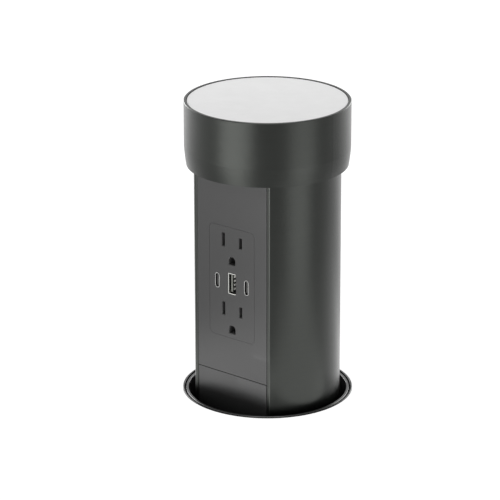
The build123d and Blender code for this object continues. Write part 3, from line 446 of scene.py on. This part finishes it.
class SocketColours(bpy.types.PropertyGroup):
    """Colours of the finishes, in linear light."""

    def colour(name, default):
        return FloatVectorProperty(
            name=name, description="Colour of the " + name.lower(), default=default, size=4,
            subtype="COLOR", min=0.0, max=1.0,
        )

    anodised: colour("Anodised metal", (0.030, 0.0316, 0.0296, 1.0))
    face: colour("Socket face", (0.0122, 0.0122, 0.0122, 1.0))
    # Slot walls: bare plastic, and lighter as painted light falling into the slots
    slot_wall: colour("Slot walls", (0.065, 0.065, 0.065, 1.0))
    insert: colour("Insert", (0.752, 0.752, 0.752, 1.0))
    ring: colour("Bright ring", (0.09, 0.09, 0.09, 1.0))
    # Black of the cup below its rim: black anodising, and painted shade of the deep well
    black_and_well_shade: colour("Black anodised metal", (0.004, 0.004, 0.004, 1.0))
    collar: colour("Collar", (0.016, 0.016, 0.016, 1.0))
    sleeve: colour("Sleeve", (0.42, 0.43, 0.44, 1.0))
    plastic: colour("Black plastic", (0.018, 0.018, 0.018, 1.0))
    grey_plastic: colour("Receptacle plastic", (0.05, 0.05, 0.05, 1.0))
    acetal: colour("Slide plastic", (0.74, 0.74, 0.68, 1.0))
    rubber: colour("Rubber", (0.012, 0.012, 0.012, 1.0))
    zinc: colour("Zinc plate", (0.56, 0.57, 0.59, 1.0))
    spring: colour("Spring wire", (0.38, 0.38, 0.38, 1.0))
    chrome: colour("Ground rods", (0.68, 0.68, 0.69, 1.0))
    brass: colour("Brass", (0.62, 0.44, 0.18, 1.0))
    nickel: colour("Wide port shell", (0.74, 0.74, 0.71, 1.0))
    dark_nickel: colour("Small port shells", (0.54, 0.54, 0.53, 1.0))
    tin: colour("Port contacts", (0.86, 0.86, 0.82, 1.0))
    tongue: colour("Wide port tongue", (0.12, 0.125, 0.108, 1.0))
    grey_tongue: colour("Small port tongues", (0.05, 0.05, 0.048, 1.0))
    board: colour("Circuit board", (0.02, 0.09, 0.035, 1.0))
    ferrite: colour("Coil and cans", (0.06, 0.06, 0.065, 1.0))


class SocketStudio(bpy.types.PropertyGroup):
    """The camera, the glowing cards on the countertop and the lamps."""

    camera_place: FloatVectorProperty(
        name="Camera", description="Place of the camera", default=(0.9923, -1.1929, 0.6361),
        size=3, unit="LENGTH",
    )
    camera_turn: FloatProperty(
        name="Camera turn", description="How far the camera stands to the right of the face",
        default=radians(39.756), unit="ROTATION",
    )
    camera_tilt: FloatProperty(
        name="Camera tilt", description="How far the camera looks down",
        default=radians(19.576), unit="ROTATION",
    )
    lens: FloatProperty(name="Lens", description="Focal length in millimetres", default=205.47)
    lens_shift: FloatProperty(
        name="Lens shift", description="Sideways shift of the frame", default=-0.035,
    )
    ambient: FloatProperty(
        name="Ambient", description="Light of the white room on the object", default=0.42,
    )
    key_power: FloatProperty(
        name="Key", description="Power of the far card on the left, behind the broad highlight",
        default=4.25, unit="POWER",
    )
    fill_power: FloatProperty(
        name="Fill", description="Power of the far card on the right", default=1.54875,
        unit="POWER",
    )
    rim_power: FloatProperty(
        name="Rim", description="Power of the lamp behind the tower on the right", default=7.2,
        unit="POWER",
    )
    top_power: FloatProperty(
        name="Top", description="Power of the lamp overhead", default=2.1, unit="POWER",
    )


class SOCKET_OT_stage(bpy.types.Operator):
    """Sets up the white countertop, the room, the lamps and the camera"""

    bl_idname = "socket.stage"
    bl_label = "Stage"

    def execute(self, context):
        scene = context.scene
        scene.view_settings.view_transform = "Standard"
        self.add_floor(scene.socket_sizes)
        self.light_room(scene)
        self.add_camera(scene)
        studio = scene.socket_studio
        key, fill, rim = studio.key_power, studio.fill_power, studio.rim_power
        card, lamp = self.add_card, self.add_lamp
        behind = {"distance": 0.9, "size": (0.8, 0.5), "height": 0.26}
        above = {"distance": 0.3, "size": (0.5, 0.5), "height": 0.8}
        card("key_card_far", turn=-46.3, width=0.52, reach=(0.32, 0.95), power=key)
        near_key = key * NEAR_KEY_SHARE
        card("key_card_near", turn=-46.3, width=0.14, reach=(0.14, 0.30), power=near_key)
        card("face_card_left", turn=-67.0, width=0.12, reach=(0.045, 0.14), power=0.037)
        card("face_card", turn=-39.8, width=0.11, reach=(0.044, 0.10), power=0.0225)
        card("left_card", turn=-88.0, width=0.50, reach=(0.40, 0.95), power=0.34)
        card("fill_card_far", turn=50.0, width=0.36, reach=(0.26, 0.95), power=fill)
        near_fill = fill * NEAR_FILL_SHARE
        card("fill_card_near", turn=50.0, width=0.16, reach=(0.0435, 0.28), power=near_fill)
        card("side_card", turn=112.0, width=0.16, reach=(0.0505, 0.30), power=0.053)
        lamp("left_rim_lamp", turn=-132.0, power=rim * LEFT_RIM_SHARE, **behind)
        lamp("right_rim_lamp", turn=132.0, power=rim, **behind)
        lamp("top_lamp", turn=0.0, power=studio.top_power, **above)
        return {"FINISHED"}

    def see_white(self, graph):
        """One on what the camera, a reflection or a clear piece sees, nought on bounced light."""
        ray = {
            name: graph.node("LightPath", output=name)
            for name in ("Is Camera Ray", "Is Glossy Ray", "Is Transmission Ray")
        }
        return (ray["Is Camera Ray"] + ray["Is Glossy Ray"] + ray["Is Transmission Ray"]) > 0.5

    def add_floor(self, sizes):
        """A white countertop with a round hole just outside the collar's neck."""
        dims = {mount["name"]: mount["dims"] for mount in frame["record"]["mounts"]}
        neck = dims["counter_neck"]["r_mm"] * MM
        bm = bmesh.new()
        spun(bm, [(sizes.floor_reach, 0), (neck + sizes.floor_gap, 0)], FLOOR_SEGMENTS)
        mesh = bpy.data.meshes.new("countertop")
        bm.to_mesh(mesh)
        bm.free()
        floor = bpy.data.objects.new("countertop", mesh)
        bpy.context.scene.collection.objects.link(floor)
        material = bpy.data.materials.new("countertop")
        graph = Graph(material)
        plain = graph.node("BsdfDiffuse", None, {"Color": FLOOR_PLAIN})
        dim = graph.node("BsdfDiffuse", None, {"Color": FLOOR_DIM})
        glow = graph.node("Emission", None, {"Color": WHITE, "Strength": FLOOR_GLOW})
        white = graph.node("AddShader", None, {0: glow, 1: dim})
        seen = graph.node("MixShader", None, {0: self.see_white(graph), 1: plain, 2: white})
        graph.node("OutputMaterial", None, {"Surface": seen})
        mesh.materials.append(material)

    def light_room(self, scene):
        """A room that is white to the eye and soft in the light that it gives."""
        scene.world = bpy.data.worlds.new("white_room")
        graph = Graph(scene.world)
        ambient = scene.socket_studio.ambient
        level = ambient + self.see_white(graph) * (1 - ambient)
        sky = graph.node("Background", None, {"Color": WHITE, "Strength": level})
        graph.node("OutputWorld", None, {"Surface": sky})

    def add_camera(self, scene):
        studio = scene.socket_studio
        camera = bpy.data.cameras.new("camera")
        camera.lens = studio.lens
        camera.shift_x = studio.lens_shift
        stand = bpy.data.objects.new("camera", camera)
        stand.location = studio.camera_place
        stand.rotation_euler = (pi / 2 - studio.camera_tilt, 0, studio.camera_turn)
        scene.collection.objects.link(stand)
        scene.camera = stand

    def add_card(self, name, turn, width, reach, power):
        """A glowing card flat on the countertop, so many degrees to the right of the camera.

        Its reach is how near and how far it lies from the tower's axis.
        """
        scene = bpy.context.scene
        angle = scene.socket_studio.camera_turn + radians(turn)
        near, far = reach
        distance = (near + far) / 2
        card = bpy.data.lights.new(name, "AREA")
        card.shape = "ELLIPSE"
        card.size, card.size_y = width, far - near
        card.energy = power
        sheet = bpy.data.objects.new(name, card)
        aside = -CARD_ASIDE if turn > 0 else CARD_ASIDE
        sheet.location = (
            sin(angle) * distance + cos(angle) * aside,
            -cos(angle) * distance + sin(angle) * aside,
            CARD_LIFT,
        )
        sheet.rotation_euler = (pi, 0, angle)
        sheet.visible_camera = False
        scene.collection.objects.link(sheet)

    def add_lamp(self, name, turn, distance, size, height, power):
        """A soft box turned so many degrees to the right of the camera, aimed at the tower.

        Its distance is measured on the countertop, from the tower's axis.
        """
        scene = bpy.context.scene
        angle = scene.socket_studio.camera_turn + radians(turn)
        lamp = bpy.data.lights.new(name, "AREA")
        lamp.shape = "RECTANGLE"
        lamp.size, lamp.size_y = size
        lamp.energy = power
        box = bpy.data.objects.new(name, lamp)
        box.location = (sin(angle) * distance, -cos(angle) * distance, height)
        aim = Vector((0, 0, AIM_HEIGHT)) - box.location
        box.rotation_euler = aim.to_track_quat("-Z", "Y").to_euler()
        box.visible_camera = False
        scene.collection.objects.link(box)


class SOCKET_OT_head(bpy.types.Operator):
    """Finishes the turned head of the tower"""

    bl_idname = "socket.head"
    bl_label = "Head"

    def execute(self, context):
        colour = context.scene.socket_colours.anodised
        dress(anodised("turned_anodised", colour, TURNED), "head_shell")
        return {"FINISHED"}


class SOCKET_OT_insert(bpy.types.Operator):
    """Makes the pale insert in the head, with its softly rounded arris, and finishes its pad"""

    bl_idname = "socket.insert"
    bl_label = "Insert"

    def execute(self, context):
        sizes, colours = context.scene.socket_sizes, context.scene.socket_colours
        low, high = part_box("insert_disc")
        arris, rim = sizes.insert_arris, high.x
        angles = [step * pi / 2 / FILLET_STEPS for step in range(FILLET_STEPS + 1)]
        rounding = [
            (rim - arris + arris * cos(angle), high.z - arris + arris * sin(angle))
            for angle in angles
        ]
        bm = bmesh.new()
        spun(bm, [(0, low.z), (rim, low.z)] + rounding + [(0, high.z)], sizes.insert_segments)
        slab = stone("honed_slab", colours.insert, roughness=0.55)
        add_piece("insert_slab", bm, slab, "tower", ["insert_disc"])
        dress(soft_rubber(colours), "insert_pad")
        return {"FINISHED"}


class SOCKET_OT_column(bpy.types.Operator):
    """Finishes the extruded column and the two plates that close its flat"""

    bl_idname = "socket.column"
    bl_label = "Column"

    def execute(self, context):
        colours = context.scene.socket_colours
        low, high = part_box("face_plate")
        # The column's metal carries a painted highlight on its corners and painted light on its
        # lips
        dress(anodised_painted_edges("brushed_anodised_painted_edges", colours.anodised, low.y + FACE_DEPTH), "column")
        dress(painted("painted_plate", colours.face), "face_plate", "lower_cover")
        return {"FINISHED"}


class SOCKET_OT_receptacle(bpy.types.Operator):
    """Finishes the receptacle: its face, body, strap, contacts and shutters"""

    bl_idname = "socket.receptacle"
    bl_label = "Receptacle"

    def execute(self, context):
        colours = context.scene.socket_colours
        low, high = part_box("receptacle_face")
        plane = low.y + SLOT_DEPTH
        # Behind the face plane the slot walls are lighter: bare plastic and painted light inside
        # the slots
        dress(painted("painted_face", colours.face, colours.slot_wall, plane), "receptacle_face")
        plastic = moulded("grey_moulding", colours.grey_plastic)
        dress(plastic, "receptacle_body", "receptacle_back", "shutter_upper", "shutter_lower")
        dress(zinc_plate(colours), "receptacle_strap")
        brass = stamped_brass(colours)
        dress(brass, "hot_contacts", "neutral_contacts", "ground_contacts", "terminal_screws")
        dress(spring_wire(colours), "shutter_spring_upper", "shutter_spring_lower")
        return {"FINISHED"}


class SOCKET_OT_ports(bpy.types.Operator):
    """Finishes the charging ports and their board"""

    bl_idname = "socket.ports"
    bl_label = "Charging ports"

    def execute(self, context):
        colours = context.scene.socket_colours
        bright = metal("bright_nickel", colours.nickel, roughness=0.24, grain=DRAWN_SHELL)
        dark = metal("dark_nickel", colours.dark_nickel, roughness=0.3, grain=DRAWN_SHELL)
        tin = metal("tin_plate", colours.tin, roughness=0.45, grain=1200.0, metallic=0.2)
        mask = moulded("solder_mask", colours.board, roughness=0.35, grain=700.0)
        ferrite = moulded("ferrite", colours.ferrite, roughness=0.6, grain=900.0)
        low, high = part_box("usb_a_tongue")
        # The tongue's dark sides are painted shade inside the port; its tip keeps the tongue's own
        # olive
        tongue = moulded_shaded_sides("olive_tongue", colours.tongue, colours.plastic, low.y + TIP_DEPTH)
        dress(bright, "usb_a_shell")
        dress(dark, "usb_c_shells")
        dress(tongue, "usb_a_tongue")
        dress(moulded("grey_tongue", colours.grey_tongue, roughness=0.4), "usb_c_tongues")
        dress(tin, "usb_a_contacts")
        dress(mask, "charger_board")
        dress(ferrite, "charger_parts")
        return {"FINISHED"}


class SOCKET_OT_collar(bpy.types.Operator):
    """Finishes the collar, its seal and the wiper ring"""

    bl_idname = "socket.collar"
    bl_label = "Collar"

    def execute(self, context):
        colours = context.scene.socket_colours
        coat = anodised("collar_coat", colours.collar, TURNED_COLLAR, roughness=0.3)
        dress(coat, "mounting_collar")
        dress(soft_rubber(colours), "collar_seal", "wiper_ring")
        return {"FINISHED"}


class SOCKET_OT_cup(bpy.types.Operator):
    """Finishes the cup that closes the hole, its slide bands, bush and grommet"""

    bl_idname = "socket.cup"
    bl_label = "Guide cup"

    def execute(self, context):
        sizes, colours = context.scene.socket_sizes, context.scene.socket_colours
        low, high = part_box("guide_cup")
        level = high.z - sizes.rim_line
        # Below the bright rim the cup is black: painted shade of the deep well over black anodising
        ring = rimmed("bright_rim", colours.ring, colours.black_and_well_shade, level, roughness=0.3)
        dress(ring, "guide_cup")
        dress(moulded("acetal", colours.acetal, roughness=0.4), "guide_bands", "guide_bush")
        dress(soft_rubber(colours), "lead_grommet")
        return {"FINISHED"}


class SOCKET_OT_sleeve(bpy.types.Operator):
    """Finishes the sleeve under the counter and the cap that closes it"""

    bl_idname = "socket.sleeve"
    bl_label = "Sleeve"

    def execute(self, context):
        colours = context.scene.socket_colours
        dress(drawn_aluminium(colours), "housing_tube")
        dress(black_moulding(colours), "base_cap")
        return {"FINISHED"}


class SOCKET_OT_lift(bpy.types.Operator):
    """Finishes the gas spring and the guide rod"""

    bl_idname = "socket.lift"
    bl_label = "Gas spring and guide rod"

    def execute(self, context):
        colours = context.scene.socket_colours
        chrome = metal("chromed_rod", colours.chrome, roughness=0.16, grain=GROUND_ROD)
        dress(chrome, "gas_spring_rod", "guide_rod")
        lacquer = moulded("black_lacquer", colours.plastic, roughness=0.28, grain=300.0, depth=0.01)
        dress(lacquer, "gas_spring_cylinder")
        dress(stamped_brass(colours), "gas_spring_gland")
        dress(drawn_aluminium(colours), "gas_spring_piston")
        return {"FINISHED"}


class SOCKET_OT_latch(bpy.types.Operator):
    """Finishes the push latch: bracket, pin, hook, spring and striker"""

    bl_idname = "socket.latch"
    bl_label = "Push latch"

    def execute(self, context):
        colours = context.scene.socket_colours
        dress(zinc_plate(colours), "latch_bracket", "latch_pin", "latch_hook", "latch_striker")
        dress(spring_wire(colours), "latch_spring")
        return {"FINISHED"}


class SOCKET_OT_gland(bpy.types.Operator):
    """Finishes the cable gland in the base"""

    bl_idname = "socket.gland"
    bl_label = "Cable gland"

    def execute(self, context):
        colours = context.scene.socket_colours
        dress(black_moulding(colours), "gland_body", "gland_locknut", "gland_nut")
        dress(soft_rubber(colours), "gland_seal")
        return {"FINISHED"}


class SOCKET_OT_screws(bpy.types.Operator):
    """Finishes every screw"""

    bl_idname = "socket.screws"
    bl_label = "Screws"

    def execute(self, context):
        colours = context.scene.socket_colours
        screws = [name for name in frame["nodes"] if name.endswith("_screws")]
        screws.remove("terminal_screws")
        dress(zinc_plate(colours), "cylinder_bolt", *screws)
        return {"FINISHED"}


OPERATORS = (
    SOCKET_OT_stage,
    SOCKET_OT_head,
    SOCKET_OT_insert,
    SOCKET_OT_column,
    SOCKET_OT_receptacle,
    SOCKET_OT_ports,
    SOCKET_OT_collar,
    SOCKET_OT_cup,
    SOCKET_OT_sleeve,
    SOCKET_OT_lift,
    SOCKET_OT_latch,
    SOCKET_OT_gland,
    SOCKET_OT_screws,
)


class SOCKET_PT_panel(bpy.types.Panel):
    """Lists the steps that finish the desk socket"""

    bl_label = "Desk Socket"
    bl_idname = "SOCKET_PT_panel"
    bl_space_type = "VIEW_3D"
    bl_region_type = "UI"
    bl_category = "Desk Socket"

    def draw(self, context):
        for step in OPERATORS:
            self.layout.operator(step.bl_idname)


GROUPS = {
    "socket_sizes": SocketSizes,
    "socket_colours": SocketColours,
    "socket_studio": SocketStudio,
}


def register():
    for name, group in GROUPS.items():
        bpy.utils.register_class(group)
        setattr(bpy.types.Scene, name, PointerProperty(type=group))
    for step in OPERATORS + (SOCKET_PT_panel,):
        bpy.utils.register_class(step)


def unregister():
    for step in reversed(OPERATORS + (SOCKET_PT_panel,)):
        bpy.utils.unregister_class(step)
    for name, group in reversed(GROUPS.items()):
        delattr(bpy.types.Scene, name)
        bpy.utils.unregister_class(group)


def main():
    register()
    for step in OPERATORS:
        family, name = step.bl_idname.split(".")
        getattr(getattr(bpy.ops, family), name)()


if __name__ == "__main__":
    main()
